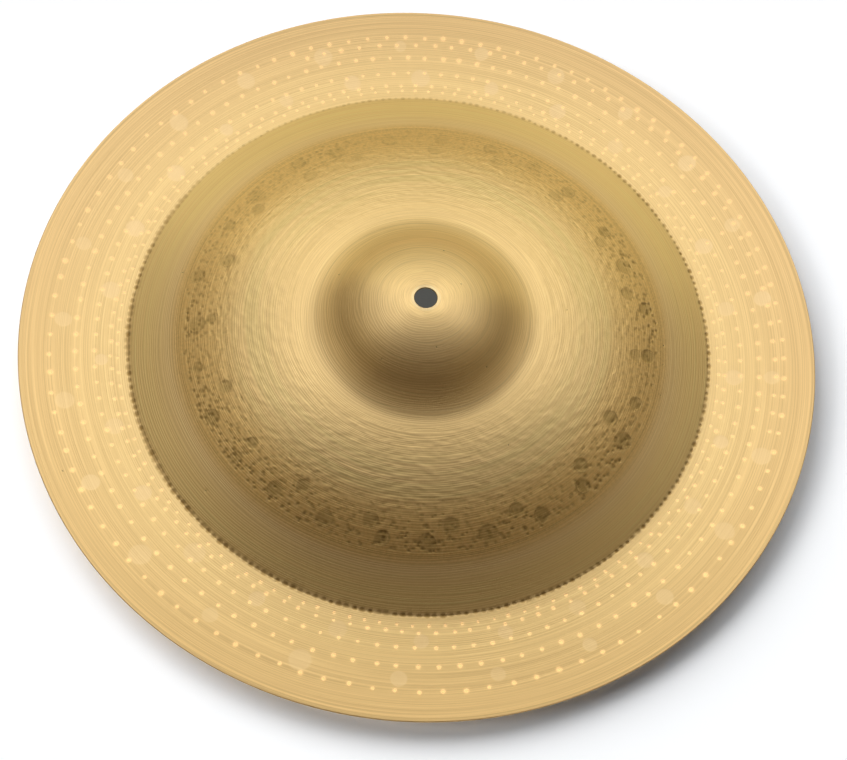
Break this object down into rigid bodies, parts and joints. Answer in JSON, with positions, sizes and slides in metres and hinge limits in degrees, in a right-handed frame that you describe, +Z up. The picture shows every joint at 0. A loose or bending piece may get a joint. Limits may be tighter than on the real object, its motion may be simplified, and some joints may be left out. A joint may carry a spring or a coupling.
{
  "type": "china cymbal",
  "caption": "Round bronze cymbal with a raised bell, a low bow, a hammered fold and a wide flange turned back up, with a hole for a stand's rod.",
  "frame": {"origin": "on the axis of symmetry, in the plane of the underside of the fold, on which the cymbal rests bell up", "axes": "+Z up along the axis of symmetry, out of the top of the bell; X and Y lie level in the plane that the fold rests on"},
  "size_m": [0.4826, 0.4826, 0.0463],
  "materials": {
    "bronze": "satin, turned on a lathe and hammered"
  },
  "bodies": {
    "root": {"cymbal": "bronze"}
  },
  "joints": []
}
